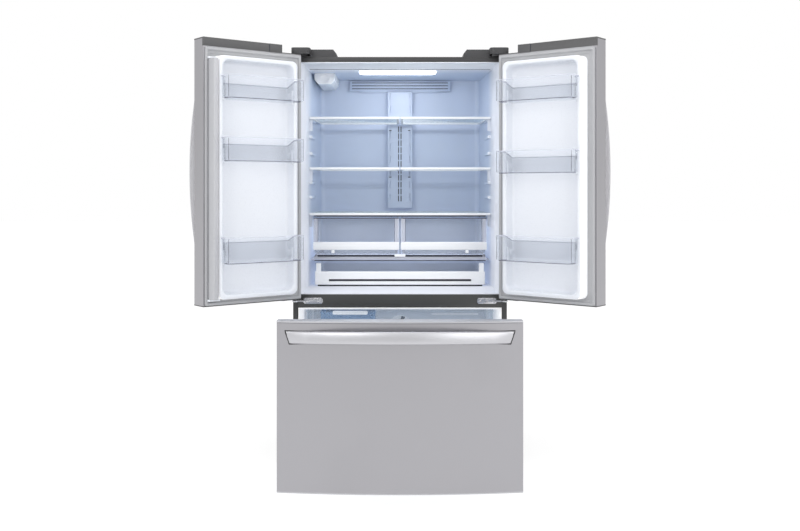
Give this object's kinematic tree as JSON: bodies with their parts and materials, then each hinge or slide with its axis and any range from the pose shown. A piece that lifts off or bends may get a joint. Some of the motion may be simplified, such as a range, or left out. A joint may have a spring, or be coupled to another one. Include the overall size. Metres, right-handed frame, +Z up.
{
  "type": "french door refrigerator",
  "caption": "Counter-depth refrigerator with paired side-hinged doors over a pull-out freezer drawer, door bins, glass shelves, crispers and a pantry drawer, shown open.",
  "frame": {"origin": "on the floor, at mid-width, in the plane of the cabinet's front flange, which is also the middle of the opened object's bounding box", "axes": "+X to the right as seen from the front, +Y to the back of the cabinet, +Z up"},
  "size_m": [1.7014, 1.2808, 1.7735],
  "materials": {
    "dark_case_paint": "satin",
    "galvanised_back": "matte",
    "dark_frame_paint": "satin",
    "dark_plastic": "matte",
    "foam": "matte",
    "white_liner": "semi-gloss",
    "white_trim": "gloss",
    "hinge_steel": "satin",
    "cover_plastic": "matte",
    "plated_hinge": "satin",
    "shelf_glass": "gloss",
    "lamp_lens": "satin",
    "black_paint": "gloss",
    "black_rubber": "matte",
    "rail_steel": "satin",
    "clear_plastic": "gloss",
    "grey_mullion": "satin",
    "basket_plastic": "semi-gloss",
    "tray_plastic": "gloss",
    "brushed_stainless": "brushed",
    "cap_plastic": "matte",
    "gasket_grey": "matte",
    "handle_stainless": "brushed"
  },
  "bodies": {
    "cabinet": {"case_shell": "dark_case_paint", "back_panel": "galvanised_back", "machine_cover": "galvanised_back", "base_frame": "dark_frame_paint", "kick_grille": "dark_plastic", "mullion_rail": "dark_case_paint", "insulation_foam": "foam", "fresh_food_liner": "white_liner", "freezer_liner": "white_liner", "top_hinges": "hinge_steel", "hinge_covers": "cover_plastic", "lower_hinges": "plated_hinge", "air_duct": "white_liner", "shelf_frames": "white_trim", "shelf_panes": "shelf_glass", "pantry_cover": "white_trim", "light_bar": "lamp_lens", "filter_housing": "white_trim", "evaporator_cover": "white_liner", "compressor": "black_paint", "cord_gland": "black_rubber", "drawer_rails": "rail_steel", "levelling_feet": "dark_frame_paint"},
    "evaporator_fan_wheel": {"evaporator_fan": "dark_plastic"},
    "rollers": {"rear_rollers": "dark_plastic"},
    "crisper_left": {"crisper_left_bin": "clear_plastic", "crisper_left_band": "white_trim"},
    "crisper_right": {"crisper_right_bin": "clear_plastic", "crisper_right_band": "white_trim"},
    "pantry": {"pantry_drawer": "clear_plastic", "pantry_band": "white_trim"},
    "left_door": {"left_door_skin": "brushed_stainless", "left_door_caps": "cap_plastic", "left_door_liner": "white_liner", "left_door_foam": "foam", "left_door_gasket": "gasket_grey", "left_door_handle": "handle_stainless", "left_bin_top": "clear_plastic", "left_bin_middle": "clear_plastic", "left_bin_bottom": "clear_plastic"},
    "mullion_flap": {"flip_mullion": "grey_mullion"},
    "right_door": {"right_door_skin": "brushed_stainless", "right_door_caps": "cap_plastic", "right_door_liner": "white_liner", "right_door_foam": "foam", "right_door_gasket": "gasket_grey", "right_door_handle": "handle_stainless", "right_bin_top": "clear_plastic", "right_bin_middle": "clear_plastic", "right_bin_bottom": "clear_plastic"},
    "freezer_drawer": {"drawer_skin": "brushed_stainless", "drawer_caps": "cap_plastic", "drawer_liner": "white_liner", "drawer_foam": "foam", "drawer_gasket": "gasket_grey", "drawer_handle": "handle_stainless", "freezer_basket": "basket_plastic", "rail_inner": "rail_steel"},
    "telescopic_rails": {"rail_middle": "rail_steel"},
    "upper_tray": {"freezer_tray": "tray_plastic"}
  },
  "joints": [
    {"name": "left_door_hinge", "type": "hinge", "parent": "cabinet", "child": "left_door", "pos_m": [-0.44, -0.038, 1.2], "axis": [0, 0, -1], "range_deg": [-142, 0]},
    {"name": "right_door_hinge", "type": "hinge", "parent": "cabinet", "child": "right_door", "pos_m": [0.44, -0.038, 1.2], "axis": [0, 0, 1], "range_deg": [-142, 0]},
    {"name": "mullion_flap_hinge", "type": "hinge", "parent": "left_door", "child": "mullion_flap", "pos_m": [-0.74274, -0.32783, 1.2], "axis": [0, 0, 1], "range_deg": [-90, 0]},
    {"name": "freezer_drawer_slide", "type": "slide", "parent": "cabinet", "child": "freezer_drawer", "axis": [0, -1, 0], "range_m": [-0.483, 0.01]},
    {"name": "rail_slide", "type": "slide", "parent": "cabinet", "child": "telescopic_rails", "axis": [0, -1, 0], "range_m": [-0.2415, 0.005]},
    {"name": "upper_tray_slide", "type": "slide", "parent": "cabinet", "child": "upper_tray", "axis": [0, -1, 0], "range_m": [0, 0.25]},
    {"name": "crisper_left_slide", "type": "slide", "parent": "cabinet", "child": "crisper_left", "axis": [0, -1, 0], "range_m": [0, 0.3]},
    {"name": "crisper_right_slide", "type": "slide", "parent": "cabinet", "child": "crisper_right", "axis": [0, -1, 0], "range_m": [0, 0.3]},
    {"name": "pantry_slide", "type": "slide", "parent": "cabinet", "child": "pantry", "axis": [0, -1, 0], "range_m": [0, 0.3]},
    {"name": "evaporator_fan_spin", "type": "hinge", "parent": "cabinet", "child": "evaporator_fan_wheel", "pos_m": [0, 0.485, 0.52], "axis": [0, 1, 0], "continuous": true},
    {"name": "rear_roller_spin", "type": "hinge", "parent": "cabinet", "child": "rollers", "pos_m": [0.4, 0.56, 0.024], "axis": [1, 0, 0], "continuous": true}
  ],
  "couplings": [
    {"joint": "mullion_flap_hinge", "follows": "left_door_hinge", "ratio": 0.6338},
    {"joint": "rail_slide", "follows": "freezer_drawer_slide", "ratio": 0.5}
  ]
}
